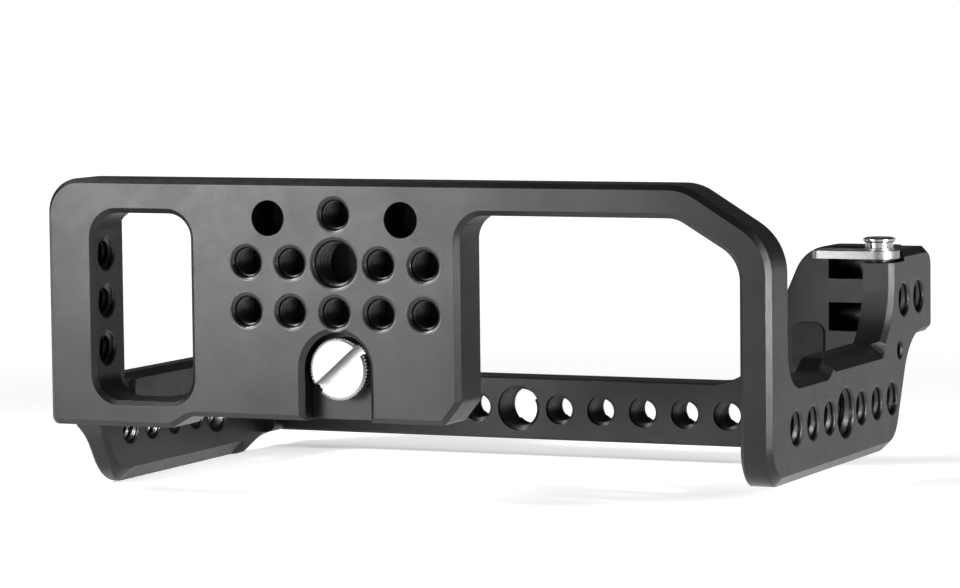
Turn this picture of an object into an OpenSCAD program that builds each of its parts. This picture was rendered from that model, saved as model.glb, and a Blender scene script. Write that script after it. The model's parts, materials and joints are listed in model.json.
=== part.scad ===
// Camera cage: a milled bottom plate and right side wall in one piece, a left side plate and a top
// plate around a camera, with a captive camera screw and a swivelling strap-lug tab.
// The cage lies on its lens side. X runs along the bottom plate, Y from the bottom plate to the top
// plate, Z from the camera's front to its back. Shapes are drawn from the centre of the main hole on
// the bottom plate's outer face, and placed() moves them to the middle of the footprint.

/* [Bottom plate] */
// Thickness of the bottom plate
plate_t = 10; // [8.5:0.1:12]
// Main hole to the left end
plate_left = 63.6; // [62:0.1:70]
// Main hole to the right end
plate_right = 89.4; // [86:0.1:96]
// Main hole to the back edge
plate_back = 16.05; // [15.5:0.05:18]
// Main hole to the front edge
plate_front = 30.7; // [30:0.1:32]
// Main hole to the front edge of the left end
left_front = 33.2; // [32.6:0.1:34]
// Length of the left end that reaches further forward
left_end_w = 26.6; // [24:0.1:30]
// Bevel along the machined edges
edge_c = 1; // [0.6:0.05:1.3]
// Radius of the back left corner
back_corner_r = 7; // [4:0.5:10]

/* [Window] */
// Width of the frame left of the window
window_rim = 10.55; // [9.8:0.05:12]
// Width of the frame behind the window
window_bar = 6.8; // [6:0.1:8]
// Width of the window
window_w = 21.35; // [18:0.05:22.5]
// Length of the window
window_h = 37.25; // [35:0.05:38.5]
// Corner radius of the window
window_r = 5; // [3:0.5:8]
// First threaded hole beside the window, from the main hole
rim_hole_z = 0.9; // [0.4:0.1:1.4]

/* [Battery cut-out] */
// Main hole to the left edge of the cut-out
cut_left = 26.3; // [25:0.1:32]
// Width of the bar behind the cut-out
bar_w = 6.3; // [5.5:0.1:8]
// Corner radius of the cut-out
cut_r = 5; // [3:0.5:8]
// Length along the back edge that the sloped corner takes
slope_w = 17.1; // [14:0.1:20]
// Length along the right wall that the sloped corner takes
slope_h = 10.55; // [8:0.05:13]
// The same, along the inside of the corner
slope_in_w = 12.5; // [10:0.1:15]
// The same, down the inside of the corner
slope_in_h = 7.5; // [5:0.1:9]

/* [Threaded holes] */
// Spacing of the threaded holes
pitch = 9.525; // [9.4:0.005:9.7]
// Radius of the quarter-inch holes
quarter_r = 3.2; // [3.1:0.01:3.3]
// Radius of the three-eighths holes
main_r = 4.8; // [4.7:0.01:4.9]
// Widening of a threaded hole's mouth
mouth = 0.45; // [0.2:0.05:0.5]
// Radius of the plain holes
plain_r = 3.5; // [3.3:0.05:3.6]
// Plain holes to the middle, along the plate
plain_x = 14.25; // [14:0.05:14.5]
// Plain holes to the main hole, across the plate
plain_z = 8.7; // [8.5:0.05:8.9]

/* [Camera screw] */
// Main hole to the camera screw
screw_z = 20.55; // [20.3:0.05:20.9]
// Radius of the recess around the screw's head
notch_r = 7.1; // [6.8:0.05:7.4]
// Depth of the recess
notch_t = 5; // [4.6:0.05:5.2]
// Radius of the head
head_r = 6.1; // [5.8:0.05:6.3]
// Height of the head
head_t = 4; // [3.5:0.1:4.4]
// Number of teeth around the head
head_teeth = 56; // [40:1:64]
// Width of the coin slot
slot_w = 2.1; // [1.6:0.1:2.4]
// Depth of the coin slot
slot_t = 2; // [1.4:0.1:2.4]
// Turn of the coin slot
slot_turn = 41; // [0:1:90]
// Radius of the screw's thread
thread_r = 3.17; // [3.1:0.01:3.2]
// Length of thread inside the cage
screw_reach = 5; // [4:0.1:6]
// Travel of the screw before its clip stops it
screw_lift = 1.905; // [1.27:0.005:1.95]

/* [Right wall] */
// Thickness of the right wall
wall_t = 6.36; // [6:0.02:6.8]
// Main hole to the front edge of the right wall
wall_front = 40.7; // [39.8:0.1:42]
// Radius of the wall's corner at the bottom plate
wall_near_r = 8; // [6:0.5:10]
// Far end of the cage to the end of the wall's front edge
wall_low_end = 24.2; // [22:0.1:27]
// Bevel along the wall's front edge
wall_low_c = 2; // [1.2:0.1:2.4]
// Main hole to the wall's row of holes
wall_row_z = 30.2; // [29.8:0.1:30.8]
// Outer face to the first hole of the wall's row
wall_row_y = 14; // [13.6:0.1:14.6]
// Main hole to the back edge of the wall, near the bottom plate
near_sill_z = 21.4; // [20.8:0.1:22]
// Length of that lower sill
near_sill_l = 21.3; // [18:0.1:24]
// Bevel along that lower sill
near_facet = 1.5; // [0.8:0.1:1.8]
// Main hole to the back edge of the wall, near the top plate
far_sill_z = 18.8; // [18.4:0.1:19.6]
// Bevel along the near leg's inner edge
leg_c = 0.6; // [0.4:0.1:1]
// Facet along that higher sill
sill_facet = 2.9; // [2:0.1:3.2]
// Main hole to the back end of the far leg
far_leg_z = 1; // [0.6:0.1:1.6]
// Main hole to the front edge of the far leg
far_leg_front = 18.6; // [18:0.1:19]
// Width of the far leg
far_leg_w = 25.6; // [25:0.1:27]
// Bevel along the far leg's back end
far_leg_c = 1.3; // [0.6:0.1:1.5]

/* [Left side plate] */
// Thickness of the left side plate
left_t = 5.2; // [4.6:0.1:6]
// Main hole to its front edge
left_low_z = 47.4; // [46.4:0.1:49]
// Main hole to its sill
left_sill_z = 25; // [24:0.1:26]
// Width of its feet
foot_w = 8.2; // [7.8:0.1:8.3]
// Thickness of its feet
foot_t = 6; // [5.4:0.1:7]
// Facet along its inner front edge
left_facet = 3; // [2:0.1:3.4]
// Main hole to its row of holes
left_row_z = 36; // [35.6:0.1:36.6]
// Outer face to the first hole of its row
left_row_y = 23.6; // [23:0.1:24.4]

/* [Top plate] */
// Height of the cage from the bottom plate to the top plate, over both
cage_h = 97.5; // [96:0.5:104]
// Thickness of the top plate
top_t = 9; // [8.5:0.1:9.6]
// Main hole to its front edge
top_front = 43.5; // [43:0.1:44.4]
// Width of its front bar
top_bar_w = 13.2; // [12.4:0.1:14.4]
// Width of its left end
top_left_w = 31; // [30:0.5:34]
// Main hole to the back edge of its left end
top_back = 8; // [7:0.5:10]
// Main hole to the start of its arm
arm_x = 60; // [56:0.5:64]

/* [Strap-lug tab] */
// Thickness of the tab
tab_t = 1.6; // [1.4:0.1:2]
// Half the width of the tab
tab_r = 4.1; // [3.8:0.1:4.2]
// Length of the tab from its screw to its tip
tab_reach = 13.2; // [10:0.1:15]
// Near edge of the far leg to the tab's screw
tab_near = 4.6; // [4.4:0.05:4.9]
// Right end to the tab's screw
tab_in = 4.4; // [4.2:0.05:4.6]
// Radius of the tab screw's thread
tab_thread_r = 2; // [1.6:0.05:2.1]
// Thread that stays in the wall when the tab screw is out
tab_grip = 1.7; // [1.3:0.1:1.8]
// Radius of the tab screw's head
tab_head_r = 3.3; // [3.1:0.1:3.6]
// Height of the tab screw's head
tab_head_t = 2.1; // [1.9:0.1:3.4]
// Height of the boss under the tab
boss_t = 0.65; // [0.4:0.05:0.9]
// Thickness of the washer
washer_t = 0.5; // [0.4:0.05:0.8]
// Travel of the tab screw
tab_lift = 2.1; // [1.4:0.05:2.1]

/* [Shoe] */
// Width of the shoe
shoe_w = 21.2; // [20.8:0.1:22]
// Length of the shoe
shoe_l = 19; // [18.6:0.1:21]
// Width of the shoe's slot
shoe_slot_w = 18.7; // [18.6:0.05:18.8]
// Height of the shoe's slot
shoe_slot_h = 2.1; // [2.05:0.05:2.3]
// Gap between the shoe's lips
shoe_gap = 12.7; // [12.5:0.1:13]
// Thickness of the shoe's floor and lips
shoe_t = 1.6; // [1.3:0.1:2]
// Left end of the cage to the middle of the shoe
shoe_in = 18; // [17.8:0.1:18.4]

/* [Pads] */
// Thickness of the rubber pads
pad_t = 1.5; // [1.2:0.1:2]
// Depth of the pads' recesses
pad_seat = 1; // [0.6:0.1:1.1]
// Length of the left side plate's pad
left_pad_l = 31; // [24:0.5:31]
// Width of the left side plate's pad
left_pad_w = 5; // [4:0.1:6]
// Length of the right wall's pad
right_pad_l = 50; // [40:1:54]
// Width of the right wall's pad
right_pad_w = 3.6; // [3.2:0.1:4]
// Length of the top plate's pads
top_pad_l = 20; // [16:0.5:22]
// Width of the top plate's pads
top_pad_w = 15; // [12:0.5:17]

/* [Fasteners and fits] */
// Radius of the plates' screws
bolt_r = 1.5; // [1.4:0.05:1.55]
// Radius of their heads
bolt_head_r = 2.75; // [2.6:0.05:2.8]
// Height of their heads
bolt_head_t = 2.8; // [2.4:0.1:3]
// Length of thread in the plates
bolt_grip = 4.4; // [4:0.1:4.6]
// Radius of the dowels
dowel_r = 1; // [0.8:0.05:1.05]
// Gap around fixed screws, dowels and pads
seat_gap = 0.05; // [0.03:0.01:0.08]
// Gap around turning screws
turn_gap = 0.05; // [0.03:0.01:0.08]
// Gap around the camera screw in the plate
pass_gap = 0.25; // [0.2:0.01:0.3]

/* [Hidden] */
$fn = 64;

// Angle of one step of a rounded corner
arc_step = 7.5;
// Small bevel along the inner faces' edges
inner_c = 0.4;
// Bevel of an edge that stays sharp: its cutter passes clear of the edge
none = -0.15;
// Length that bevels run on beyond a joint
past = 3;
// Overlap that lets a cut pass through a face
cut = 1;
// The same, for the cones that widen the holes' mouths
lift = 0.2;

// Places along X
x_left = -plate_left;
x_right = plate_right;
x_wall = x_right - wall_t;
x_window = x_left + window_rim;
x_foot = x_left + foot_w;
x_bolts = x_left + foot_w / 2;
x_tab = x_right - tab_in;
shoe_x = plate_left - shoe_in;
// Places along Y
y_top = cage_h - top_t;
wall_low_l = cage_h - wall_low_end;
far_leg_y = cage_h - far_leg_w;
tab_y = far_leg_y + tab_near;
y_foot = plate_t + foot_t;
y_shoe = cage_h + 2 * shoe_t + shoe_slot_h;
// Height of the joint between the bottom plate and the wall, in the middle of the near leg
leg_joint = -10;
// Undersides of the tab, the washer and the tab screw's head
z_far_leg = -far_leg_z;
z_tab = z_far_leg - 1.5;
z_washer = z_tab + tab_t + turn_gap;
z_tab_head = z_washer + washer_t + turn_gap;
tab_thread_l = tab_grip + tab_lift;
// Height of the far leg's holes
far_hole_z = -10.85;

// --- Outlines: corners are [x, y, radius, bevel of the next side at the lower face, at the upper face] ---

function flat(p) = [p[0], p[1]];
function cross2(u, v) = u[0] * v[1] - u[1] * v[0];
function side(u) = [-u[1], u[0]];
function turned(v, a) = [v[0] * cos(a) - v[1] * sin(a), v[0] * sin(a) + v[1] * cos(a)];
function heading(a, b) = flat(b - a) / norm(flat(b - a));

// Rounded outline as [x, y, way into the solid, bevel]; the bevels come from column k of the corners
function rim(pts, k) =
  let (m = len(pts))
  [for (i = [0:m - 1])
    let (
      a = pts[(i + m - 1) % m], p = pts[i],
      u = heading(a, p), v = heading(p, pts[(i + 1) % m]),
      turn = atan2(cross2(u, v), u * v), s = sign(turn), r = p[2],
      steps = max(2, ceil(abs(turn) / (r < 4 ? 2 * arc_step : arc_step))),
      middle = flat(p) - u * (r * tan(abs(turn) / 2)) + side(u) * (r * s)
    )
    each r == 0
      ? [[p[0], p[1], (side(u) + side(v)) / (1 + side(u) * side(v)), p[k]]]
      : [for (j = [0:steps])
          let (w = turned(side(u), turn * j / steps), q = middle - w * (r * s))
          [q[0], q[1], w, a[k] + (p[k] - a[k]) * j / steps]]];

// Three-sided ring along an outline; taken away, it bevels the edge at height z of the upper (up = 1)
// or lower (up = -1) face
module bevel_ring(ring, z, up) {
  n = len(ring);
  over = 0.3;
  points = [for (q = ring)
    let (low = flat(q) - q[2] * over, high = flat(q) + q[2] * (q[3] + over))
    each [
      [low[0], low[1], z - up * (q[3] + over)],
      [high[0], high[1], z + up * over],
      [low[0], low[1], z + up * over]
    ]];
  faces = [for (i = [0:n - 1]) for (k = [0:2])
    let (a = 3 * i, b = 3 * ((i + 1) % n), j = (k + 1) % 3)
    up > 0 ? [b + k, b + j, a + j, a + k] : [a + k, a + j, b + j, b + k]];
  polyhedron(points, faces);
}

// Plate of an outline with bevelled edges; past runs the bevels on beyond its joints
module bevelled(pts, past, t, low = true) {
  difference() {
    linear_extrude(t) polygon([for (q = rim(pts, 4)) flat(q)]);
    bevel_ring(rim(past, 4), t, 1);
    if (low) bevel_ring(rim(past, 3), 0, -1);
  }
}

// Opening of a clockwise outline through a plate of thickness t, bevelled at its upper face
module bevelled_opening(pts, t) {
  translate([0, 0, -cut]) linear_extrude(t + 2 * cut) polygon([for (q = rim(pts, 4)) flat(q)]);
  bevel_ring(rim(pts, 4), t, 1);
}

// Frames for outlines drawn across the cage (X, Z) and along it (Y, Z)
module along_y(y0, t) translate([0, y0 + t, 0]) rotate([90, 0, 0]) children();
module along_x(x0) translate([x0, 0, 0]) rotate([90, 0, 90]) children();

// Round cutters along each axis, from the face they enter
module hole_y(x, y, z, r, l) translate([x, y, z]) rotate([-90, 0, 0]) cylinder(h = l, r = r);
module hole_x(x, y, z, r, l) translate([x, y, z]) rotate([0, 90, 0]) cylinder(h = l, r = r);

// Threaded hole entered from -Y, with a widened mouth
module tapped_y(x, y, z, r, l) {
  hole_y(x, y - cut, z, r, l + cut);
  translate([x, y - lift, z]) rotate([-90, 0, 0]) cylinder(h = lift + mouth, r1 = r + mouth + lift, r2 = r);
}

// Threaded hole through a wall, with both mouths widened
module tapped_x(x, y, z, r, l) {
  hole_x(x - cut, y, z, r, l + 2 * cut);
  translate([x + l - mouth, y, z]) rotate([0, 90, 0])
    cylinder(h = lift + mouth, r1 = r, r2 = r + mouth + lift);
  translate([x - lift, y, z]) rotate([0, 90, 0]) cylinder(h = lift + mouth, r1 = r + mouth + lift, r2 = r);
}

// Threaded hole through the top plate
module tapped_top(x, z, r) {
  hole_y(x, y_top - cut, z, r, top_t + 2 * cut);
  translate([x, cage_h - mouth, z]) rotate([-90, 0, 0])
    cylinder(h = lift + mouth, r1 = r, r2 = r + mouth + lift);
}

// Moves the cage so that its footprint is centred and its lowest edge is at zero
module placed() {
  translate([(plate_left - plate_right) / 2, -y_shoe / 2, left_low_z]) children();
}

// --- Bottom plate and right wall ---

// Outline of the bottom plate, down to the joint with the near leg or past it
function plate_outline(past = 0) = [
  [x_left, -left_front, 1.5, none, edge_c],
  [x_left + left_end_w + 0.5, -left_front, 3, none, edge_c],
  [x_left + left_end_w + 5, -plate_front, 3, none, edge_c],
  [cut_left - 3.5, -plate_front, 1.5, none, edge_c],
  [cut_left, -plate_front + 4.4, 1.5, none, edge_c],
  [cut_left, plate_back - bar_w, cut_r, none, edge_c],
  [x_wall - slope_in_w, plate_back - bar_w, 6, none, edge_c],
  [x_wall, plate_back - bar_w - slope_in_h, 7, none, edge_c],
  [x_wall, leg_joint - past, 0, none, edge_c],
  [x_right, leg_joint - past, 0, leg_c, edge_c],
  [x_right, plate_back - slope_h, 11, leg_c, edge_c],
  [x_right - slope_w, plate_back, 11, none, edge_c],
  [x_left, plate_back, back_corner_r, none, edge_c]
];

function window_outline() =
  let (
    x1 = x_window + window_w,
    z1 = plate_back - window_bar,
    z0 = z1 - window_h
  )
  [
    [x_window, z0, window_r, 0, edge_c],
    [x_window, z1, window_r, 0, edge_c],
    [x1, z1, window_r, 0, edge_c],
    [x1, z0, window_r, 0, edge_c]
  ];

// Side view of the right wall, from the near leg's joint round to the far leg
function wall_outline(past = 0) =
  let (slope_run = (wall_front - far_leg_front) / 2.2)
  [
    [0, -wall_front, wall_near_r, none, wall_low_c],
    [wall_low_l, -wall_front, 8, none, edge_c],
    [wall_low_l + slope_run, -far_leg_front, 12, none, edge_c],
    [cage_h, -far_leg_front, 2, none, edge_c],
    [cage_h, z_far_leg, 4, none, far_leg_c],
    [far_leg_y, z_far_leg, 2, none, edge_c],
    [far_leg_y, z_tab - 10, 14, none, edge_c],
    [far_leg_y - 6.1, -far_sill_z, 1.5, none, sill_facet],
    [plate_t + near_sill_l + 4, -far_sill_z, 4, none, wall_low_c],
    [plate_t + near_sill_l, -near_sill_z, 4, none, near_facet],
    [plate_t, -near_sill_z, 6, none, leg_c],
    [plate_t, leg_joint + past, 0, none, edge_c],
    [0, leg_joint + past, 0, edge_c, edge_c]
  ];

// Room for the tab and its swing in the far leg's back end, with a boss under the tab
module tab_pocket() {
  r = tab_r + 1;
  room = 6;
  difference() {
    translate([x_tab, tab_y, z_tab - boss_t]) {
      cylinder(h = room, r = r);
      translate([-x_tab + x_wall - cut, far_leg_y - tab_y - cut, 0])
        cube([x_tab - x_wall + cut, tab_y - far_leg_y + r + cut, room]);
      translate([0, far_leg_y - tab_y - cut, 0]) cube([tab_in + cut, tab_y - far_leg_y + cut, room]);
    }
    translate([x_tab, tab_y, z_tab - boss_t - cut]) cylinder(h = boss_t + cut, r = tab_head_r - 0.4);
  }
}

module notch() {
  run = plate_front - screw_z;
  translate([0, 0, -screw_z]) {
    hole_y(0, -cut, 0, notch_r, notch_t + cut);
    translate([0, -cut, 0]) rotate([-90, 0, 0])
      cylinder(h = cut + edge_c, r1 = notch_r + edge_c + cut, r2 = notch_r);
    translate([-notch_r, -cut, -run - cut]) cube([2 * notch_r, notch_t + cut, run + cut]);
    translate([0, 0, -run - cut]) linear_extrude(run + cut)
      polygon([
        [-notch_r - edge_c - cut, -cut], [notch_r + edge_c + cut, -cut],
        [notch_r, edge_c], [-notch_r, edge_c]
      ]);
  }
}

module bottom_frame() color("#1c1c1e") placed() {
  difference() {
    union() {
      along_y(0, plate_t) bevelled(plate_outline(), plate_outline(past), plate_t);
      along_x(x_wall) bevelled(wall_outline(), wall_outline(past), wall_t);
    }
    along_y(0, plate_t) bevelled_opening(window_outline(), plate_t);
    notch();
    grid_holes();
    wall_holes();
    // Shank hole of the camera screw and the clip's pocket behind it
    hole_y(0, notch_t - cut, -screw_z, thread_r + pass_gap, plate_t);
    hole_y(0, y_clip_floor, -screw_z, clip_r + pass_gap, plate_t);
    // Seats of the pads
    along_y(plate_t - pad_seat, pad_seat + cut) pad_body(base_pad_box(), seat_gap, pad_seat + cut);
    along_x(x_wall - cut) pad_body(right_pad_box(), seat_gap, pad_seat + cut);
    // Threads and dowel holes of the left side plate's near foot
    for (z = foot_screw_z) hole_y(x_bolts, plate_t - bolt_grip - 0.3, z, bolt_r + seat_gap, plate_t);
    for (z = foot_dowel_z) hole_y(x_bolts, plate_t - dowel_grip, z, dowel_r + seat_gap, plate_t);
    // Threads of the arm's screws
    for (z = arm_screw_z) hole_x(x_wall - cut, y_arm_screw, z, bolt_r + seat_gap, bolt_grip + 0.3 + cut);
    tab_pocket();
    // Thread of the tab's screw
    translate([x_tab, tab_y, z_tab - tab_thread_l - 0.3])
      cylinder(h = tab_thread_l + 0.3 + cut, r = tab_thread_r + turn_gap);
  }
}

module grid_holes() {
  through = plate_t + 2 * cut;
  for (k = [-2:2]) if (k != 0) tapped_y(k * pitch, 0, 0, quarter_r, through);
  for (k = [-2:2]) tapped_y(k * pitch, 0, -pitch, quarter_r, through);
  tapped_y(0, 0, pitch, quarter_r, through);
  tapped_y(0, 0, 0, main_r, through);
  for (s = [-1, 1]) hole_y(s * plain_x, -cut, plain_z, plain_r, through);
  for (k = [0:2]) tapped_x(x_left, plate_t / 2, rim_hole_z - k * pitch, quarter_r, window_rim);
}

module wall_holes() {
  for (k = [0:6]) if (wall_row_y + k * pitch < wall_low_l)
    tapped_x(x_wall, wall_row_y + k * pitch, -wall_row_z, k == 3 ? main_r : quarter_r, wall_t);
  for (k = [0, 1]) tapped_x(x_wall, far_leg_y + 7 + k * pitch, far_hole_z, quarter_r, wall_t);
  tapped_x(x_wall, far_leg_y + 4.3, -far_sill_z - 2.1, bolt_r, wall_t);
}

// --- Left side plate ---

left_sill_r = 6;
y_left_far = y_top - foot_t;
// Side view of the left side plate's wall
function left_outline(past = 0) = [
  [plate_t - past, -left_front - 0.8, 0, edge_c, edge_c],
  [plate_t + 2.7, -left_front - 3.7, 12, edge_c, edge_c],
  [plate_t + 9.2, -left_low_z, 10, left_facet, edge_c],
  [y_top - 14, -left_low_z, 8, edge_c, edge_c],
  [y_top - 5.5, -top_front - 1, 14, edge_c, edge_c],
  [y_top + past, -top_front - 0.3, 0, edge_c, edge_c],
  [y_top + past, top_back, 0, edge_c, edge_c],
  [y_top - 12, top_back, 4, edge_c, edge_c],
  [y_top - 12, -left_sill_z, left_sill_r, edge_c, edge_c],
  [y_foot, -left_sill_z, left_sill_r, edge_c, edge_c],
  [y_foot, plate_back - 2, 2, edge_c, edge_c],
  [plate_t - past, plate_back - 2, 0, edge_c, edge_c]
];

module left_side_plate() color("#1e1e20") placed() {
  difference() {
    union() {
      // Drawn from the inner face out, so that the upper face is the outer one
      mirror([1, 0, 0]) along_x(plate_left - left_t)
        bevelled(left_outline(), left_outline(past), left_t);
      // Feet on the bottom plate and under the top plate
      along_y(plate_t, foot_t) linear_extrude(foot_t) foot_outline(plate_back - 2, left_front);
      along_y(y_left_far, foot_t) linear_extrude(foot_t) foot_outline(top_back, top_front);
    }
    for (k = [0:4])
      tapped_x(x_left, left_row_y + k * pitch, -left_row_z, k == 4 ? main_r : quarter_r, left_t);
    mirror([1, 0, 0]) along_x(plate_left - left_t - cut)
      pad_body(left_pad_box(), seat_gap, pad_seat / 2 + cut);
    for (z = foot_screw_z) {
      hole_y(x_bolts, plate_t - cut, z, bolt_r + 0.2, foot_t + 2 * cut);
      hole_y(x_bolts, y_foot - bolt_head_t - 0.2, z, bolt_head_r + 0.2, foot_t);
    }
    for (z = foot_dowel_z) hole_y(x_bolts, plate_t - cut, z, dowel_r + seat_gap, dowel_grip + cut);
    for (z = top_screw_z)
      hole_y(x_bolts, y_top - bolt_grip - 0.3, z, bolt_r + seat_gap, bolt_grip + 0.3 + cut);
    for (z = top_dowel_z) hole_y(x_bolts, y_top - dowel_grip, z, dowel_r + seat_gap, dowel_grip + cut);
  }
}

// Foot of the left side plate, seen along the cage; it starts inside the wall's thickness
module foot_outline(back, front) polygon([for (q = rim([
  [x_left + left_t - edge_c - 0.6, -front, 0, 0],
  [x_foot, -front, 2, 0],
  [x_foot, back, 2, 0],
  [x_left + left_t - edge_c - 0.6, back, 0, 0]
], 3)) flat(q)]);

// --- Top plate ---

arm_low_x = x_wall - 5;
function top_outline(past = 0) = [
  [x_left, -top_front, 4, inner_c, edge_c],
  [arm_x, -top_front, 14, inner_c, edge_c],
  [arm_low_x, -far_leg_front, 6, inner_c, edge_c],
  [x_wall + past, -far_leg_front, 0, inner_c, edge_c],
  [x_wall + past, z_far_leg, 0, inner_c, edge_c],
  [arm_low_x - 13, z_far_leg, 8, inner_c, edge_c],
  [arm_x - 8, -top_front + top_bar_w, 12, inner_c, edge_c],
  [x_left + top_left_w, -top_front + top_bar_w, 8, inner_c, edge_c],
  [x_left + top_left_w, top_back, 5, inner_c, edge_c],
  [x_left, top_back, 5, inner_c, edge_c]
];

module top_plate() color("#1c1c1e") placed() {
  row_z = -top_front + top_bar_w / 2;
  difference() {
    // The upper face of the drawn plate is its outer one
    translate([0, y_top, 0]) mirror([0, 1, 0]) rotate([90, 0, 0])
      bevelled(top_outline(), top_outline(past), top_t);
    for (k = [-5:5]) tapped_top(k * pitch, row_z, k == 0 ? main_r : quarter_r);
    for (z = top_screw_z) {
      hole_y(x_bolts, y_top - cut, z, bolt_r + 0.2, top_t + 2 * cut);
      hole_y(x_bolts, cage_h - bolt_head_t - 0.4, z, bolt_head_r + 0.2, top_t);
    }
    for (z = top_dowel_z) hole_y(x_bolts, y_top - cut, z, dowel_r + seat_gap, dowel_grip + cut);
    // Pockets and holes of the arm's screws
    for (z = arm_screw_z) {
      hole_x(x_arm_head, y_arm_screw, z, bolt_r + 0.2, x_wall - x_arm_head + cut);
      hole_x(x_arm_head - 9, y_arm_screw, z, bolt_head_r + 0.2, 9);
      translate([x_arm_head - 9, y_top - cut, z - bolt_head_r - 0.2])
        cube([9, y_arm_screw - y_top + cut, 2 * (bolt_head_r + 0.2)]);
    }
    for (i = [0:3])
      shoe_screw_at(i) translate([0, 0, -shoe_grip - 0.3]) cylinder(h = top_t, r = shoe_bolt_r + seat_gap);
    along_y(y_top - cut, pad_seat + cut) pad_body(top_pad_left_box(), seat_gap, pad_seat + cut);
    along_y(y_top - cut, pad_seat + cut) pad_body(top_pad_right_box(), seat_gap, pad_seat + cut);
  }
}

// --- Camera screw ---

clip_r = 4.3;
clip_t = 0.7;
clip_rest = 0.1;
clip_neck = 2.5;
y_clip = plate_t - clip_rest - clip_t;
y_clip_floor = y_clip - screw_lift - 0.1;

// One tooth's outline around a knurled head
function knurl(r, teeth, depth) =
  [for (i = [0:2 * teeth - 1])
    let (a = 180 * i / teeth, q = r - (i % 2) * depth) [q * cos(a), q * sin(a)]];

module camera_screw() color("#d8d8da") placed() translate([0, 0, -screw_z]) rotate([-90, 0, 0]) {
  y_face = notch_t - head_t;
  difference() {
    translate([0, 0, y_face]) linear_extrude(head_t) polygon(knurl(head_r, head_teeth, 0.3));
    // Bevel around the head's face
    translate([0, 0, y_face - cut]) difference() {
      cylinder(h = cut + 0.4, r = head_r + cut);
      cylinder(h = cut + 0.4, r1 = head_r - 0.6 - cut, r2 = head_r - 0.2);
    }
    rotate([0, 0, -slot_turn])
      translate([-head_r - cut, -slot_w / 2, y_face - cut]) cube([2 * (head_r + cut), slot_w, slot_t + cut]);
  }
  translate([0, 0, notch_t]) cylinder(h = y_clip - turn_gap - notch_t, r = thread_r);
  translate([0, 0, y_clip - turn_gap]) cylinder(h = clip_t + 2 * turn_gap, r = clip_neck);
  translate([0, 0, y_clip + clip_t + turn_gap])
    cylinder(h = plate_t + screw_reach - 0.6 - y_clip - clip_t - turn_gap, r = thread_r);
  translate([0, 0, plate_t + screw_reach - 0.6]) cylinder(h = 0.6, r1 = thread_r, r2 = thread_r - 0.6);
}

module camera_screw_clip() color("#55565a") placed() translate([0, y_clip, -screw_z]) rotate([-90, 0, 0]) {
  linear_extrude(clip_t) difference() {
    circle(r = clip_r);
    circle(r = clip_neck + turn_gap);
    // Open side of the clip
    translate([-1.7, 0]) square([3.4, clip_r + cut]);
    // Notches that leave three gripping lugs
    for (a = [35, 145]) rotate(-a) translate([clip_neck + 0.5, -0.6]) square([0.8, 1.2]);
  }
}

// --- Strap-lug tab, its washer and screw ---

module lug_tab() color("#c9cace") placed() translate([x_tab, tab_y, z_tab + turn_gap / 2]) {
  difference() {
    union() {
      cylinder(h = tab_t, r = tab_r);
      translate([-tab_reach + 1.5, -tab_r, 0]) cube([tab_reach - 1.5, 2 * tab_r, tab_t]);
      // Tip with rounded corners
      translate([-tab_reach, -tab_r + 1.5, 0]) cube([2, 2 * tab_r - 3, tab_t]);
      for (s = [-1, 1]) translate([-tab_reach + 1.5, s * (tab_r - 1.5), 0]) cylinder(h = tab_t, r = 1.5);
    }
    translate([0, 0, -cut]) cylinder(h = tab_t + 2 * cut, r = tab_thread_r + turn_gap);
    // Slot for the camera's strap lug
    translate([-tab_reach + 3.2, -0.9, -cut]) cube([3.6, 1.8, tab_t + 2 * cut]);
    for (x = [3.2, 6.8]) translate([-tab_reach + x, 0, -cut]) cylinder(h = tab_t + 2 * cut, r = 0.9);
  }
}

module tab_washer() color("#9a9ba0") placed() translate([x_tab, tab_y, z_washer]) {
  difference() {
    cylinder(h = washer_t, r = tab_head_r - 0.3);
    translate([0, 0, -cut]) cylinder(h = washer_t + 2 * cut, r = tab_thread_r + turn_gap);
  }
}

module tab_screw() color("#c9cace") placed() translate([x_tab, tab_y, 0]) {
  rim_t = 1;
  neck_r = tab_head_r - 0.5;
  z_top = z_tab_head + tab_head_t;
  difference() {
    union() {
      translate([0, 0, z_tab_head]) cylinder(h = tab_head_t - rim_t, r = neck_r);
      translate([0, 0, z_top - rim_t]) cylinder(h = 0.3, r1 = neck_r, r2 = tab_head_r);
      translate([0, 0, z_top - rim_t + 0.3]) cylinder(h = rim_t - 0.6, r = tab_head_r);
      translate([0, 0, z_top - 0.3]) cylinder(h = 0.3, r1 = tab_head_r, r2 = tab_head_r - 0.6);
      translate([0, 0, z_tab - tab_thread_l])
        cylinder(h = z_tab_head - z_tab + tab_thread_l, r = tab_thread_r);
    }
    translate([0, 0, z_top - 1.3]) cylinder(h = 1.3 + cut, r = 1.45, $fn = 6);
  }
}

// --- Pads: boxes are [x, y, width, height, radius] in the plane they lie in ---

function base_pad_box() = [-2 * pitch - 6, -pitch - 4.9, 4 * pitch + 12, 2 * pitch + 9.6, 3];
function left_pad_box() = [left_row_y + 0.4, -left_row_z + quarter_r + 1.4, left_pad_l, left_pad_w, 2];
function right_pad_box() = [wall_row_y, -wall_front + edge_c, right_pad_l, right_pad_w, 1.5];
function top_pad_left_box() = [x_foot + left_t, top_back - left_t - top_pad_l, top_pad_w, top_pad_l, 3];
function top_pad_right_box() =
  [arm_x + 2, 1.6 - far_leg_front - top_pad_l / 2, top_pad_w / 2 - 0.5, top_pad_l / 2, 2];

module pad_body(b, gap, t) {
  r = b[4] + gap;
  x0 = b[0] - gap;
  y0 = b[1] - gap;
  w = b[2] + 2 * gap;
  h = b[3] + 2 * gap;
  corners = [[x0, y0, r, 0], [x0 + w, y0, r, 0], [x0 + w, y0 + h, r, 0], [x0, y0 + h, r, 0]];
  linear_extrude(t) polygon([for (q = rim(corners, 3)) flat(q)]);
}

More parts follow.
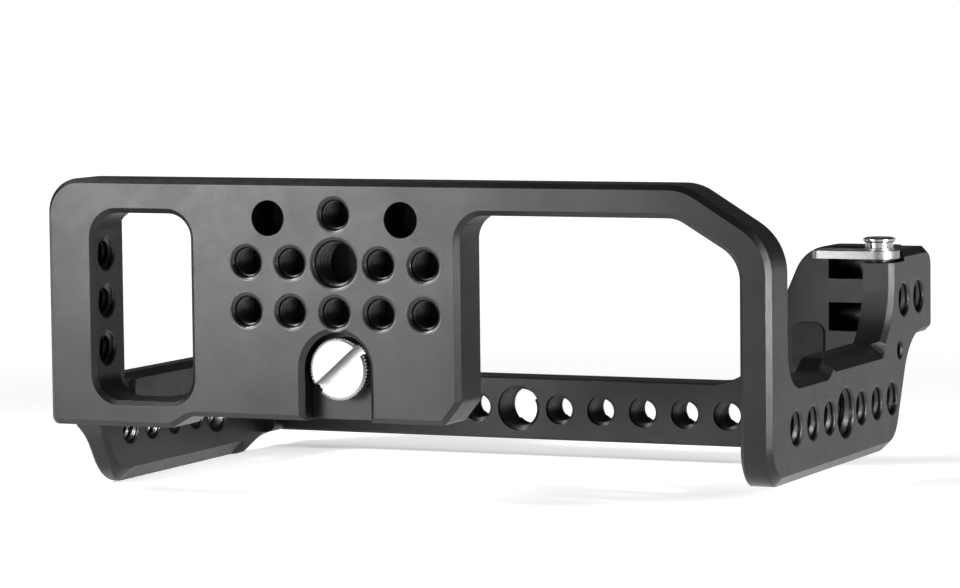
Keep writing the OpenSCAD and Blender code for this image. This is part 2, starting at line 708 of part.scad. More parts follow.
module base_pad() color("#101012") placed()
  along_y(plate_t - pad_seat, pad_t) pad_body(base_pad_box(), 0, pad_t);
module left_pad() color("#101012") placed()
  mirror([1, 0, 0]) along_x(plate_left - left_t - pad_t + pad_seat / 2) pad_body(left_pad_box(), 0, pad_t);
module right_pad() color("#101012") placed()
  along_x(x_wall + pad_seat - pad_t) pad_body(right_pad_box(), 0, pad_t);
module top_pad(b) color("#101012") placed()
  along_y(y_top + pad_seat - pad_t, pad_t) pad_body(b, 0, pad_t);

// --- Shoe on the top plate ---

shoe_z = -7.5;
shoe_bolt_r = 1;
shoe_grip = 4;

module shoe_frame() translate([-shoe_x, cage_h, shoe_z]) rotate([-90, 0, 0]) children();

// Local z points out of the top plate and local y to the camera's front
module cold_shoe() color("#8d8e92") placed() shoe_frame() {
  stop = 1.4;
  difference() {
    translate([-shoe_w / 2, -shoe_l / 2, 0]) cube([shoe_w, shoe_l, 2 * shoe_t + shoe_slot_h]);
    translate([-shoe_slot_w / 2, -shoe_l / 2 - cut, shoe_t])
      cube([shoe_slot_w, shoe_l - stop + cut, shoe_slot_h]);
    translate([-shoe_gap / 2, -shoe_l / 2 - cut, shoe_t])
      cube([shoe_gap, shoe_l + 2 * cut, shoe_t + shoe_slot_h + cut]);
    for (x = [-1, 1], y = [-1, 1]) translate([x * 4.4, y * 5.6, -cut]) {
      cylinder(h = shoe_t + 2 * cut, r = shoe_bolt_r + 0.1);
      translate([0, 0, cut + shoe_t - 1])
        cylinder(h = 1 + cut, r1 = shoe_bolt_r + 0.1, r2 = shoe_bolt_r + 1.1 + cut);
    }
  }
}

module shoe_screw_at(i) shoe_frame()
  translate([(i % 2 == 0 ? -1 : 1) * 4.4, (i < 2 ? -1 : 1) * 5.6, 0]) children();

module shoe_screw(i) color("#6c6d72") placed() shoe_screw_at(i - 1) {
  translate([0, 0, -shoe_grip]) cylinder(h = shoe_grip + shoe_t - 0.9, r = shoe_bolt_r);
  difference() {
    translate([0, 0, shoe_t - 1.1]) cylinder(h = 1.05, r1 = shoe_bolt_r - 0.1, r2 = shoe_bolt_r + 0.95);
    translate([0, 0, shoe_t - 0.75]) cylinder(h = 1, r = 0.75, $fn = 6);
  }
}

// --- Screws and dowels that join the plates ---

dowel_grip = 3;
foot_screw_z = [plate_back - 6, rim_hole_z - 2 * pitch - 9.6];
foot_dowel_z = [rim_hole_z + 4.5, rim_hole_z - 2 * pitch - 4.7];
top_screw_z = [top_back - 6, -18, -top_front + 6];
top_dowel_z = [-8, -28];
arm_screw_z = [z_far_leg - 3.8, -far_leg_front + 3];
y_arm_screw = cage_h - 4.4;
x_arm_head = x_wall - 4;

// Socket-head screw along local z: its head stands on zero and its shank goes down
module socket_screw(grip) {
  difference() {
    cylinder(h = bolt_head_t, r = bolt_head_r);
    translate([0, 0, bolt_head_t - 1.4]) cylinder(h = 1.4 + cut, r = 1.4, $fn = 6);
  }
  translate([0, 0, -grip]) cylinder(h = grip, r = bolt_r);
}

module foot_screw(i) color("#3a3b3e") placed()
  translate([x_bolts, y_foot - bolt_head_t - 0.2, foot_screw_z[i - 1]]) rotate([-90, 0, 0])
    socket_screw(foot_t - bolt_head_t - 0.2 + bolt_grip);

module foot_dowel(i) color("#a5a6aa") placed()
  hole_y(x_bolts, plate_t - dowel_grip + 0.1, foot_dowel_z[i - 1], dowel_r, 2 * dowel_grip - 0.2);

module top_screw(i) color("#3a3b3e") placed()
  translate([x_bolts, cage_h - bolt_head_t - 0.4, top_screw_z[i - 1]]) rotate([-90, 0, 0])
    socket_screw(top_t - bolt_head_t - 0.4 + bolt_grip);

module top_dowel(i) color("#a5a6aa") placed()
  hole_y(x_bolts, y_top - dowel_grip + 0.1, top_dowel_z[i - 1], dowel_r, 2 * dowel_grip - 0.2);

module arm_screw(i) color("#3a3b3e") placed()
  translate([x_arm_head, y_arm_screw, arm_screw_z[i - 1]]) rotate([0, -90, 0])
    socket_screw(x_wall - x_arm_head + bolt_grip);

bottom_frame();
left_side_plate();
top_plate();
camera_screw();
camera_screw_clip();
lug_tab();
tab_screw();
tab_washer();
base_pad();
left_pad();
right_pad();
top_pad(top_pad_left_box());  // top_pad_left
top_pad(top_pad_right_box());  // top_pad_right
cold_shoe();
shoe_screw(1);  // shoe_screw_1
shoe_screw(2);  // shoe_screw_2
shoe_screw(3);  // shoe_screw_3
shoe_screw(4);  // shoe_screw_4
foot_screw(1);  // foot_screw_1
foot_screw(2);  // foot_screw_2
foot_dowel(1);  // foot_dowel_1
foot_dowel(2);  // foot_dowel_2
top_screw(1);  // top_screw_1
top_screw(2);  // top_screw_2
top_screw(3);  // top_screw_3
top_dowel(1);  // top_dowel_1
top_dowel(2);  // top_dowel_2
arm_screw(1);  // arm_screw_1
arm_screw(2);  // arm_screw_2
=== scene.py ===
"""Looks of the camera cage: finishes, threads, floor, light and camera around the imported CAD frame."""

import json
import math
from collections import namedtuple

import bpy
from mathutils import Matrix, Vector


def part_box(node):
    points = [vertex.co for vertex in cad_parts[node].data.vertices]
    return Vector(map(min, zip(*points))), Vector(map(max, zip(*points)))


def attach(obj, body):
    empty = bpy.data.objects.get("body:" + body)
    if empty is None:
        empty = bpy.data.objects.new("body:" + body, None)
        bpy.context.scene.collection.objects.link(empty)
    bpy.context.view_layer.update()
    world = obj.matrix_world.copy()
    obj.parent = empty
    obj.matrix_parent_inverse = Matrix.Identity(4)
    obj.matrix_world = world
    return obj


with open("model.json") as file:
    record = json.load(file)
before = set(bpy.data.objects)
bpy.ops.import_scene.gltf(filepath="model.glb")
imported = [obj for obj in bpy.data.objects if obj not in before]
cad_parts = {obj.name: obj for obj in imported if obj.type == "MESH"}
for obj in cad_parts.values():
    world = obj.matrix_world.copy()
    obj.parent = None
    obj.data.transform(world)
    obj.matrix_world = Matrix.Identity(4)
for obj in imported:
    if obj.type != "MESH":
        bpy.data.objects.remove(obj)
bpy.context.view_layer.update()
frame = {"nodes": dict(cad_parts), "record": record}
MM = 0.001

# --- Sizes of the threaded holes that the record doesn't state, in millimetres -----------------

# From one hole of a row to the next
HOLE_SPACING = 9.525
# Radii of the thread's root and crest, and its pitch
QUARTER = {"major": 3.2, "minor": 2.52, "pitch": 1.27}
THREE_EIGHTHS = {"major": 4.8, "minor": 3.95, "pitch": 1.5875}
# How much wider than the thread the CAD's chamfer makes each mouth
MOUTH = 0.45
# Radius of the rounded mouths, of holes with one mouth and of holes with two
ONE_MOUTH_SUNK = 0.85
TWO_MOUTHS_SUNK = 0.5
# Lengths of the holes
PLATE_DEPTH = 9.0
RIM_DEPTH = 10.55
WALL_DEPTH = 6.36
LEFT_DEPTH = 5.2
TOP_DEPTH = 9.0
# How far ridges and mouths sink into the CAD's solid, so that no gap shows
BITE = 0.02
# The rounded mouth starts this far under the face and inside the chamfer's rim
MOUTH_DROP = 0.02
MOUTH_STEP = 0.03
# It goes on straight by this much after the rounding, and meets the thread's root so far behind it
MOUTH_LIP = 0.12
MOUTH_FOOT = 0.4
# Its hidden back starts this far behind the chamfer
MOUTH_BACK = 0.1
# Half the ridge's width at its root and the width of its crest, as shares of the pitch
ROOT_SHARE = 0.46
CREST_SHARE = 1 / 8
# Between the end of the ridge and the bottom of a hole with one mouth
END_GAP = 0.15

# Directions from a face into its holes
BACKWARD = (0, 1, 0)
FORWARD = (0, -1, 0)
RIGHTWARD = (1, 0, 0)
LEFTWARD = (-1, 0, 0)

# --- Numbers of shading ------------------------------------------------------------------------

# Edges sharper than this stay sharp, in degrees, on the threads and on the CAD's pieces
THREAD_SHARP_DEG = 35
CAD_SHARP_DEG = 24
WELD_REACH = 0.002 * MM
# Most of a noise's values lie between these two
NOISE_LOW = 0.3
NOISE_HIGH = 0.7
# Rays that each look for the edge that a Bevel node rounds
BEVEL_SAMPLES = 4
# Turning marks per metre of radius
RING_SCALE = 9000.0
# Sockets of the Mix node, which has a set for numbers and another for colours
MIX_FACTOR = 0
MIX_NUMBER_A = 2
MIX_NUMBER_B = 3
MIX_COLOUR_A = 6
MIX_COLOUR_B = 7
MIX_COLOUR_RESULT = 2

# --- Numbers of the floor, the surroundings and the camera -------------------------------------

# Half the floor's side, in metres, and its grey
FLOOR_HALF = 3.0
FLOOR_GREY = 0.82
# The floor's own glow near the cage and far from it, and the distances where it changes, in metres
# The lower glow near the cage darkens the floor round it: painted shade, on top of the cage's real shadow
NEAR_GLOW = 0.4
FAR_GLOW = 0.62
NEAR = 0.1
FAR = 0.5
# Sines of the elevations between which the surroundings go from white to the level of the ceiling
HORIZON_TOP = 0.0
CEILING = 0.04
CEILING_LEVEL = 0.08
# Level of the plain light that the surroundings cast on matte surfaces
FILL_LEVEL = 0.6

# The photograph's camera: its bearing and roll in degrees, and its distance in millimetres
VIEW_AZIMUTH = 24.05
VIEW_ELEVATION = 4.453
VIEW_ROLL = -0.638
VIEW_DISTANCE = 788.0
# How far the main hole lies to the right of the view's axis and above it, in millimetres
MAIN_HOLE_RIGHT = -28.198
MAIN_HOLE_UP = 5.756
LENS_MM = 152.99
SENSOR_MM = 36
CLIP_START = 0.05


# --- Shader helpers ----------------------------------------------------------------------------


class Finish:
    """A material with a Principled shader and short calls to add nodes to it."""

    def __init__(self, name, **sockets):
        self.material = bpy.data.materials.new(name)
        self.material.use_nodes = True
        self.nodes = self.material.node_tree.nodes
        self.links = self.material.node_tree.links
        self.shader = self.nodes["Principled BSDF"]
        for socket, value in sockets.items():
            self.shader.inputs[socket.replace("_", " ")].default_value = value

    def node(self, kind, **values):
        """New node, with values for its properties or, by name, for its sockets."""
        made = self.nodes.new(kind)
        for key, value in values.items():
            if hasattr(made, key):
                setattr(made, key, value)
            else:
                made.inputs[key.replace("_", " ")].default_value = value
        return made

    def link(self, source, target):
        self.links.new(source, target)

    def place(self):
        """Object coordinates, in metres."""
        return self.node("ShaderNodeTexCoord").outputs["Object"]

    def noise(self, size_mm, detail):
        """Noise whose features are about size_mm across."""
        made = self.node("ShaderNodeTexNoise", Scale=1 / (size_mm * MM), Detail=detail)
        self.link(self.place(), made.inputs["Vector"])
        return made.outputs["Fac"]

    def rings(self, centre, axis):
        """Noise in rings round the line through centre along an axis (0, 1 or 2)."""
        offset = self.node("ShaderNodeVectorMath", operation="SUBTRACT")
        self.link(self.place(), offset.inputs[0])
        offset.inputs[1].default_value = centre
        flat = self.node("ShaderNodeVectorMath", operation="MULTIPLY")
        self.link(offset.outputs[0], flat.inputs[0])
        flat.inputs[1].default_value = [0.0 if k == axis else 1.0 for k in range(3)]
        radius = self.node("ShaderNodeVectorMath", operation="LENGTH")
        self.link(flat.outputs[0], radius.inputs[0])
        marks = self.node("ShaderNodeTexNoise", noise_dimensions="1D", Scale=RING_SCALE, Detail=2.0)
        self.link(radius.outputs["Value"], marks.inputs["W"])
        return marks.outputs["Fac"]

    def spread(self, value, low, high):
        """Maps the middle of a noise to low..high."""
        made = self.node("ShaderNodeMapRange")
        made.inputs["From Min"].default_value = NOISE_LOW
        made.inputs["From Max"].default_value = NOISE_HIGH
        made.inputs["To Min"].default_value = low
        made.inputs["To Max"].default_value = high
        self.link(value, made.inputs["Value"])
        return made.outputs["Result"]

    def paint(self, value, dark, light):
        """Base colour from dark to light, by a noise."""
        made = self.node("ShaderNodeMix", data_type="RGBA")
        made.inputs[MIX_COLOUR_A].default_value = (*dark, 1)
        made.inputs[MIX_COLOUR_B].default_value = (*light, 1)
        self.link(self.spread(value, 0, 1), made.inputs[MIX_FACTOR])
        self.link(made.outputs[MIX_COLOUR_RESULT], self.shader.inputs["Base Color"])

    def roughen(self, value, low, high):
        """Roughness from low to high, by a noise."""
        self.link(self.spread(value, low, high), self.shader.inputs["Roughness"])

    def relief(self, heights, edge_mm=0.0):
        """Bump from [(height, millimetres)], laid over edges rounded by edge_mm."""
        normal = None
        if edge_mm:
            bevel = self.node("ShaderNodeBevel", samples=BEVEL_SAMPLES)
            bevel.inputs["Radius"].default_value = edge_mm * MM
            normal = bevel.outputs["Normal"]
        for height, depth_mm in heights:
            bump = self.node("ShaderNodeBump", Strength=1.0)
            bump.inputs["Distance"].default_value = depth_mm * MM
            self.link(height, bump.inputs["Height"])
            if normal:
                self.link(normal, bump.inputs["Normal"])
            normal = bump.outputs["Normal"]
        self.link(normal, self.shader.inputs["Normal"])


# --- Finishes ----------------------------------------------------------------------------------


def anodised():
    """Black anodised aluminium: blasted grain, faint clouding of the dye and softened edges."""
    made = Finish("black_anodised", Metallic=1.0)
    made.paint(made.noise(size_mm=14, detail=3), dark=(0.036, 0.036, 0.037), light=(0.044, 0.044, 0.045))
    made.roughen(made.noise(size_mm=3.0, detail=4), low=0.38, high=0.43)
    made.relief([(made.noise(size_mm=0.16, detail=3), 0.022)], edge_mm=0.16)
    return made.material


def bare_thread():
    """Flanks and mouths of the threads: anodised too, but cut and not blasted, so glossier."""
    made = Finish("thread_flanks", Metallic=1.0)
    made.paint(made.noise(size_mm=0.5, detail=2), dark=(0.04, 0.04, 0.041), light=(0.06, 0.06, 0.061))
    made.roughen(made.noise(size_mm=2.0, detail=2), low=0.3, high=0.35)
    made.relief([(made.noise(size_mm=0.3, detail=2), 0.0003)])
    return made.material


def steel(name, dark, light, smooth, rough, centre=None, axis=None):
    """Steel with fine turning rings round centre and axis, or with fine marks where there is no centre."""
    made = Finish(name, Metallic=1.0)
    marks = made.noise(size_mm=0.25, detail=3) if centre is None else made.rings(centre, axis)
    made.paint(marks, dark, light)
    made.roughen(made.noise(size_mm=0.9, detail=3), smooth, rough)
    made.relief([(marks, 0.0015)], edge_mm=0.12)
    return made.material


def oxide():
    """Black oxide on the socket screws and the clip."""
    made = Finish("black_oxide", Metallic=0.8)
    made.paint(made.noise(size_mm=0.7, detail=3), dark=(0.03, 0.03, 0.033), light=(0.055, 0.055, 0.06))
    made.roughen(made.noise(size_mm=0.5, detail=2), low=0.3, high=0.42)
    made.relief([(made.noise(size_mm=0.2, detail=2), 0.006)], edge_mm=0.1)
    return made.material


def rubber():
    """Matte moulded rubber with a fine pebble."""
    made = Finish("rubber_pad", Metallic=0.0, Specular_IOR_Level=0.35)
    made.paint(made.noise(size_mm=5, detail=3), dark=(0.014, 0.014, 0.014), light=(0.022, 0.022, 0.022))
    made.roughen(made.noise(size_mm=1.2, detail=2), low=0.72, high=0.86)
    pebble_mm = 0.55
    pebble = made.node("ShaderNodeTexVoronoi", Scale=1 / (pebble_mm * MM))
    made.link(made.place(), pebble.inputs["Vector"])
    grain = made.noise(size_mm=0.15, detail=2)
    made.relief([(pebble.outputs["Distance"], 0.06), (grain, 0.01)], edge_mm=0.25)
    return made.material


# --- Mesh of the threads -----------------------------------------------------------------------


def mesh_piece(name, points, faces, material, body):
    """New piece of points in millimetres of the row frame."""
    mesh = bpy.data.meshes.new(name)
    mesh.from_pydata([Vector(p) * MM for p in points], [], faces)
    mesh.validate()
    mesh.shade_smooth()
    mesh.set_sharp_from_angle(angle=math.radians(THREAD_SHARP_DEG))
    mesh.materials.append(material)
    piece = bpy.data.objects.new(name, mesh)
    bpy.context.scene.collection.objects.link(piece)
    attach(piece, body)


def join_parts(parts):
    """One list of points and faces out of several."""
    points = []
    faces = []
    for some_points, some_faces in parts:
        start = len(points)
        points += some_points
        faces += [tuple(start + i for i in face) for face in some_faces]
    return points, faces


def spokes(axis, steps):
    """Function of a step's number that gives the unit vector, square to the axis, of that step."""
    axis = Vector(axis)
    first = axis.orthogonal().normalized()
    second = axis.cross(first)

    def spoke(step):
        angle = 2 * math.pi * step / steps
        return math.cos(angle) * first + math.sin(angle) * second

    return spoke


def rounded_mouth(entry, inward, size, sunk, steps=48, arc=6):
    """Closed ring that rounds the mouth of a threaded hole with a radius of sunk millimetres."""
    inward = Vector(inward)
    widest = size["major"] + MOUTH - MOUTH_STEP
    buried = size["major"] + BITE
    section = []
    for k in range(arc + 1):
        turn = math.pi / 2 * k / arc
        section.append((MOUTH_DROP + sunk * (1 - math.cos(turn)), widest - sunk * math.sin(turn)))
    section.append((sunk + MOUTH_LIP, widest - sunk))
    section.append((sunk + MOUTH_FOOT, buried))
    section.append((MOUTH + MOUTH_BACK, buried))
    spoke = spokes(inward, steps)
    points = []
    for i in range(steps):
        points += [Vector(entry) + inward * along + spoke(i) * radius for along, radius in section]
    count = len(section)
    faces = []
    for i in range(steps):
        ahead = (i + 1) % steps
        for k in range(count):
            after = (k + 1) % count
            faces.append((i * count + k, i * count + after, ahead * count + after, ahead * count + k))
    return points, faces


def thread_ridge(entry, inward, size, depth, sunk, both_mouths, steps=40):
    """Helical ridge of an internal thread, from one mouth to the other or to the hole's bottom."""
    inward = Vector(inward)
    root = size["pitch"] * ROOT_SHARE
    crest = size["pitch"] * CREST_SHARE
    buried = size["major"] + BITE
    section = ((-root, buried), (-crest / 2, size["minor"]), (crest / 2, size["minor"]), (root, buried))
    start = sunk + crest
    end = depth - (sunk + crest if both_mouths else END_GAP + root)
    count = int((end - start) / size["pitch"] * steps)
    spoke = spokes(inward, steps)
    points = []
    for i in range(count + 1):
        middle = start + (end - start) * i / count
        centre = Vector(entry) + inward * middle
        points += [centre + inward * along + spoke(i) * radius for along, radius in section]
    corners = len(section)
    faces = []
    for i in range(0, corners * count, corners):
        for k in range(corners):
            after = (k + 1) % corners
            faces.append((i + k, i + after, i + corners + after, i + corners + k))
    faces.append(tuple(reversed(range(corners))))
    faces.append(tuple(corners * count + k for k in range(corners)))
    return points, faces


def threaded_hole(entry, inward, size, depth, both_mouths):
    """Ridge and rounded mouths of one threaded hole."""
    sunk = TWO_MOUTHS_SUNK if both_mouths else ONE_MOUTH_SUNK
    parts = [
        thread_ridge(entry, inward, size, depth, sunk, both_mouths),
        rounded_mouth(entry, inward, size, sunk),
    ]
    if both_mouths:
        inward = Vector(inward)
        parts.append(rounded_mouth(Vector(entry) + inward * depth, -inward, size, sunk))
    return join_parts(parts)


# --- Rows of threaded holes --------------------------------------------------------------------

MOUNTS = {mount["name"]: mount for mount in frame["record"]["mounts"]}
HoleRow = namedtuple("HoleRow", "name quarters wides inward depth both_mouths")


def middle_of(name):
    """Place of a mount, in millimetres."""
    return Vector(MOUNTS[name]["pos_m"]) / MM


def holes_of(*names):
    """Centres of the holes of one or more bolt patterns, in millimetres."""
    found = []
    for name in names:
        mount = MOUNTS[name]
        axis = [abs(round(value)) for value in mount["axis"]]
        across = Vector((0, 1, 0)) if axis[0] else Vector((1, 0, 0))
        up = Vector((0, 1, 0)) if axis[2] else Vector((0, 0, 1))
        half_x = mount["dims"].get("spacing_x_mm", 0) / 2
        half_y = mount["dims"].get("spacing_y_mm", 0) / 2
        for x in sorted({-half_x, half_x}):
            for y in sorted({-half_y, half_y}):
                found.append(middle_of(name) + across * x + up * y)
    return found


def hole_rows():
    """Every threaded hole of the cage, in one row for each face."""
    next_hole = Vector((0, HOLE_SPACING, 0))
    return [
        HoleRow(
            name="plate_threads",
            quarters=holes_of("base_holes_wide", "base_holes_narrow", "base_holes_middle"),
            wides=[middle_of("base_holes_middle")],
            inward=BACKWARD,
            depth=PLATE_DEPTH,
            both_mouths=False,
        ),
        HoleRow(
            name="rim_threads",
            quarters=holes_of("rim_holes_back") + holes_of("rim_holes_front")[:1],
            wides=[],
            inward=RIGHTWARD,
            depth=RIM_DEPTH,
            both_mouths=True,
        ),
        HoleRow(
            name="right_wall_threads",
            quarters=holes_of("right_wall_holes_outer", "right_wall_holes_middle")
            + holes_of("right_wall_holes_inner", "far_leg_holes"),
            wides=[middle_of("right_wall_holes_inner")],
            inward=LEFTWARD,
            depth=WALL_DEPTH,
            both_mouths=True,
        ),
        HoleRow(
            name="left_wall_threads",
            quarters=holes_of("left_holes_outer", "left_holes_inner"),
            wides=[holes_of("left_holes_outer")[-1] + next_hole],
            inward=RIGHTWARD,
            depth=LEFT_DEPTH,
            both_mouths=True,
        ),
        HoleRow(
            name="top_threads",
            quarters=holes_of(*("top_holes_%d" % k for k in range(1, 6))),
            wides=[middle_of("top_holes_1")],
            inward=FORWARD,
            depth=TOP_DEPTH,
            both_mouths=False,
        ),
    ]


def add_threads(finish):
    """Every threaded hole gets its ridge and its rounded mouths, in one piece for each row."""
    for row in hole_rows():
        shape = (row.depth, row.both_mouths)
        parts = [threaded_hole(hole, row.inward, QUARTER, *shape) for hole in row.quarters]
        parts += [threaded_hole(hole, row.inward, THREE_EIGHTHS, *shape) for hole in row.wides]
        points, faces = join_parts(parts)
        mesh_piece(row.name, points, faces, finish, "frame")


# --- Finishes of the CAD nodes -----------------------------------------------------------------


def dress(node, material):
    """Gives a CAD node its material."""
    slots = frame["nodes"][node].data.materials
    slots.clear()
    slots.append(material)


def smooth_node(node):
    """Welds the node's tessellation and shades it smooth up to an angle, without touching its mesh."""
    piece = frame["nodes"][node]
    weld = piece.modifiers.new("weld", "WELD")
    weld.merge_threshold = WELD_REACH
    shade = piece.modifiers.new("smooth", "NODES")
    shade.node_group = smoothing_group()


def smoothing_group():
    """The node group, made once, that shades smooth all edges but the sharp ones."""
    name = "smooth_by_angle"
    if name in bpy.data.node_groups:
        return bpy.data.node_groups[name]
    group = bpy.data.node_groups.new(name, "GeometryNodeTree")
    group.interface.new_socket("Geometry", in_out="INPUT", socket_type="NodeSocketGeometry")
    group.interface.new_socket("Geometry", in_out="OUTPUT", socket_type="NodeSocketGeometry")
    start = group.nodes.new("NodeGroupInput")
    end = group.nodes.new("NodeGroupOutput")
    angle = group.nodes.new("GeometryNodeInputMeshEdgeAngle")
    below = group.nodes.new("FunctionNodeCompare")
    below.operation = "LESS_THAN"
    below.inputs[1].default_value = math.radians(CAD_SHARP_DEG)
    faces = group.nodes.new("GeometryNodeSetShadeSmooth")
    edges = group.nodes.new("GeometryNodeSetShadeSmooth")
    edges.domain = "EDGE"
    group.links.new(start.outputs[0], faces.inputs["Geometry"])
    group.links.new(faces.outputs[0], edges.inputs["Geometry"])
    group.links.new(angle.outputs["Unsigned Angle"], below.inputs[0])
    group.links.new(below.outputs["Result"], edges.inputs["Shade Smooth"])
    group.links.new(edges.outputs[0], end.inputs[0])
    return group


camera_screw_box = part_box("camera_screw")
tab_screw_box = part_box("tab_screw")

BLACK = anodised()
THREAD = bare_thread()
BRIGHT = steel(
    "bright_steel",
    dark=(0.36, 0.36, 0.365),
    light=(0.44, 0.44, 0.445),
    smooth=0.48,
    rough=0.56,
    centre=(camera_screw_box[0] + camera_screw_box[1]) / 2,
    axis=1,
)
SATIN = steel("satin_steel", dark=(0.26, 0.26, 0.265), light=(0.34, 0.34, 0.345), smooth=0.34, rough=0.42)
CAP = steel(
    "cap_steel",
    dark=(0.36, 0.36, 0.365),
    light=(0.46, 0.46, 0.465),
    smooth=0.16,
    rough=0.24,
    centre=(tab_screw_box[0] + tab_screw_box[1]) / 2,
    axis=2,
)
SHOE = steel("shoe_steel", dark=(0.16, 0.16, 0.165), light=(0.24, 0.24, 0.245), smooth=0.3, rough=0.4)
DARK = oxide()
RUBBER = rubber()

for node in frame["nodes"]:
    if node in ("bottom_frame", "left_side_plate", "top_plate"):
        dress(node, BLACK)
        smooth_node(node)
    elif "pad" in node:
        dress(node, RUBBER)
        smooth_node(node)
    elif node == "camera_screw":
        dress(node, BRIGHT)
    elif node == "tab_screw":
        dress(node, CAP)
        smooth_node(node)
    elif node == "cold_shoe":
        dress(node, SHOE)
    elif node in ("lug_tab", "tab_washer") or "dowel" in node:
        dress(node, SATIN)
        smooth_node(node)
    else:
        dress(node, DARK)

add_threads(THREAD)


# --- Floor and surroundings --------------------------------------------------------------------


def shown_rays(nodes, links):
    """One for rays that show the background: the camera's, reflected and refracted ones."""
    rays = nodes.new("ShaderNodeLightPath")
    total = rays.outputs["Is Camera Ray"]
    for kind in ("Is Glossy Ray", "Is Transmission Ray"):
        add = nodes.new("ShaderNodeMath")
        add.operation = "MAXIMUM"
        links.new(total, add.inputs[0])
        links.new(rays.outputs[kind], add.inputs[1])
        total = add.outputs[0]
    return total


def floor_paint():
    """White paint whose glow keeps it white far off and is dimmer near the cage, a painted shade round it;
    only the camera and reflections see the glow.
    """
    finish = Finish("floor_paint", Roughness=0.9, Specular_IOR_Level=0.0)
    finish.shader.inputs["Base Color"].default_value = (FLOOR_GREY, FLOOR_GREY, FLOOR_GREY, 1)
    far_off = finish.node("ShaderNodeVectorMath", operation="LENGTH")
    finish.link(finish.place(), far_off.inputs[0])
    # Glow rises with distance from the cage, so the floor near it is darker: painted shade
    level = finish.node("ShaderNodeMapRange", interpolation_type="SMOOTHSTEP")
    level.inputs["From Min"].default_value = NEAR
    level.inputs["From Max"].default_value = FAR
    level.inputs["To Min"].default_value = NEAR_GLOW
    level.inputs["To Max"].default_value = FAR_GLOW
    finish.link(far_off.outputs["Value"], level.inputs["Value"])
    shown = finish.node("ShaderNodeMath", operation="MULTIPLY")
    finish.link(shown_rays(finish.nodes, finish.links), shown.inputs[0])
    finish.link(level.outputs["Result"], shown.inputs[1])
    glow = finish.node("ShaderNodeEmission")
    finish.link(shown.outputs[0], glow.inputs["Strength"])
    both = finish.node("ShaderNodeAddShader")
    finish.link(finish.shader.outputs[0], both.inputs[0])
    finish.link(glow.outputs[0], both.inputs[1])
    finish.link(both.outputs[0], finish.nodes["Material Output"].inputs["Surface"])
    return finish.material


def add_floor():
    """White floor with the object's real shadow and a painted shade round the object."""
    corners = [(-1, -1), (1, -1), (1, 1), (-1, 1)]
    mesh = bpy.data.meshes.new("floor")
    mesh.from_pydata([(x * FLOOR_HALF, y * FLOOR_HALF, 0) for x, y in corners], [], [(0, 1, 2, 3)])
    floor = bpy.data.objects.new("floor", mesh)
    bpy.context.scene.collection.objects.link(floor)
    mesh.materials.append(floor_paint())


def add_world():
    """White horizon and dark ceiling to the camera and to reflections, and a plain grey fill to the rest."""
    world = bpy.data.worlds.new("studio")
    bpy.context.scene.world = world
    world.use_nodes = True
    nodes = world.node_tree.nodes
    links = world.node_tree.links
    shader = nodes["Background"]
    shader.inputs["Color"].default_value = (1, 1, 1, 1)
    place = nodes.new("ShaderNodeTexCoord")
    split = nodes.new("ShaderNodeSeparateXYZ")
    links.new(place.outputs["Generated"], split.inputs[0])
    seen = nodes.new("ShaderNodeMapRange")
    seen.interpolation_type = "SMOOTHSTEP"
    seen.inputs["From Min"].default_value = HORIZON_TOP
    seen.inputs["From Max"].default_value = CEILING
    seen.inputs["To Min"].default_value = 1.0
    seen.inputs["To Max"].default_value = CEILING_LEVEL
    links.new(split.outputs["Z"], seen.inputs["Value"])
    pick = nodes.new("ShaderNodeMix")
    pick.inputs[MIX_NUMBER_A].default_value = FILL_LEVEL
    links.new(shown_rays(nodes, links), pick.inputs[MIX_FACTOR])
    links.new(seen.outputs["Result"], pick.inputs[MIX_NUMBER_B])
    links.new(pick.outputs[0], shader.inputs["Strength"])


# --- Lamps and camera --------------------------------------------------------------------------


def bearing(azimuth, elevation):
    """Unit vector towards an azimuth (0 is the front, 90 the right) and an elevation, in degrees."""
    turn = math.radians(azimuth)
    rise = math.radians(elevation)
    return Vector((math.sin(turn) * math.cos(rise), -math.cos(turn) * math.cos(rise), math.sin(rise)))


def add_light(name, azimuth, elevation, distance, width, height, power, target, spread_deg):
    """Soft box at a bearing and distance from its target, and aimed at it, in metres and watts."""
    way = bearing(azimuth, elevation)
    data = bpy.data.lights.new(name, "AREA")
    data.shape = "RECTANGLE"
    data.size = width
    data.size_y = height
    data.energy = power
    data.spread = math.radians(spread_deg)
    light = bpy.data.objects.new(name, data)
    bpy.context.scene.collection.objects.link(light)
    light.location = Vector(target) + way * distance
    light.rotation_mode = "QUATERNION"
    light.rotation_quaternion = (-way).to_track_quat("-Z", "Y")


def add_plate_lamps():
    """Lamps of the bottom plate's face, bright on the left and dim on the right."""
    add_light(
        "key_left",
        azimuth=-25,
        elevation=4,
        distance=0.20,
        width=0.08,
        height=0.08,
        power=0.068,
        target=(-0.06, -0.05, 0.06),
        spread_deg=90,
    )
    add_light(
        "key_middle",
        azimuth=-27,
        elevation=4,
        distance=0.32,
        width=0.14,
        height=0.10,
        power=0.037,
        target=(-0.03, -0.05, 0.05),
        spread_deg=50,
    )
    add_light(
        "key_right",
        azimuth=-23,
        elevation=0,
        distance=0.30,
        width=0.06,
        height=0.10,
        power=0.002,
        target=(0.015, -0.05, 0.045),
        spread_deg=14,
    )


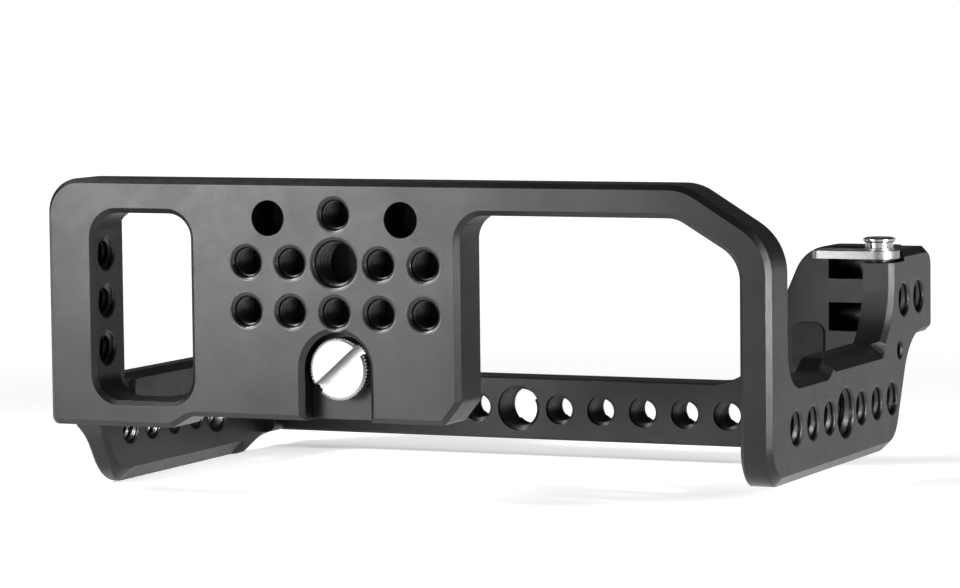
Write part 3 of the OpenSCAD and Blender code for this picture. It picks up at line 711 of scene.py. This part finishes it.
def add_side_lamps():
    """Upright strips that light the right wall and the bevel between it and the face."""
    add_light(
        "strip_right",
        azimuth=66,
        elevation=-3,
        distance=0.5,
        width=0.06,
        height=0.2,
        power=0.122,
        target=(0.085, 0.0, 0.048),
        spread_deg=20,
    )
    add_light(
        "strip_bevel",
        azimuth=70,
        elevation=-3,
        distance=0.25,
        width=0.04,
        height=0.14,
        power=0.005,
        target=(0.079, -0.05, 0.045),
        spread_deg=8,
    )


def add_glint_lamps():
    """Lamps that the mouths of the holes reflect, first in the face and then in the right wall."""
    add_light(
        "thread_glint",
        azimuth=-52,
        elevation=40,
        distance=0.33,
        width=0.2,
        height=0.06,
        power=0.12,
        target=(-0.035, -0.05, 0.045),
        spread_deg=40,
    )
    add_light(
        "wall_glint",
        azimuth=85,
        elevation=22,
        distance=0.5,
        width=0.05,
        height=0.34,
        power=0.10,
        target=(0.085, -0.02, 0.02),
        spread_deg=14,
    )


def add_camera():
    """Camera of the photograph, placed by its bearing and by where it sees the main hole."""
    azimuth = math.radians(VIEW_AZIMUTH)
    roll = math.radians(VIEW_ROLL)
    back = bearing(VIEW_AZIMUTH, VIEW_ELEVATION)
    level_right = Vector((math.cos(azimuth), math.sin(azimuth), 0))
    level_up = back.cross(level_right)
    right = math.cos(roll) * level_right + math.sin(roll) * level_up
    up = -math.sin(roll) * level_right + math.cos(roll) * level_up
    hole = middle_of("base_holes_middle")
    place = hole - right * MAIN_HOLE_RIGHT - up * MAIN_HOLE_UP + back * VIEW_DISTANCE
    data = bpy.data.cameras.new("camera")
    data.lens = LENS_MM
    data.sensor_width = SENSOR_MM
    data.clip_start = CLIP_START
    camera = bpy.data.objects.new("camera", data)
    bpy.context.scene.collection.objects.link(camera)
    camera.rotation_mode = "QUATERNION"
    camera.rotation_quaternion = Matrix((right, up, back)).transposed().to_quaternion()
    camera.location = place * MM
    bpy.context.scene.camera = camera


add_floor()
add_world()
add_plate_lamps()
add_side_lamps()
add_glint_lamps()
add_camera()
bpy.context.scene.view_settings.view_transform = "Standard"
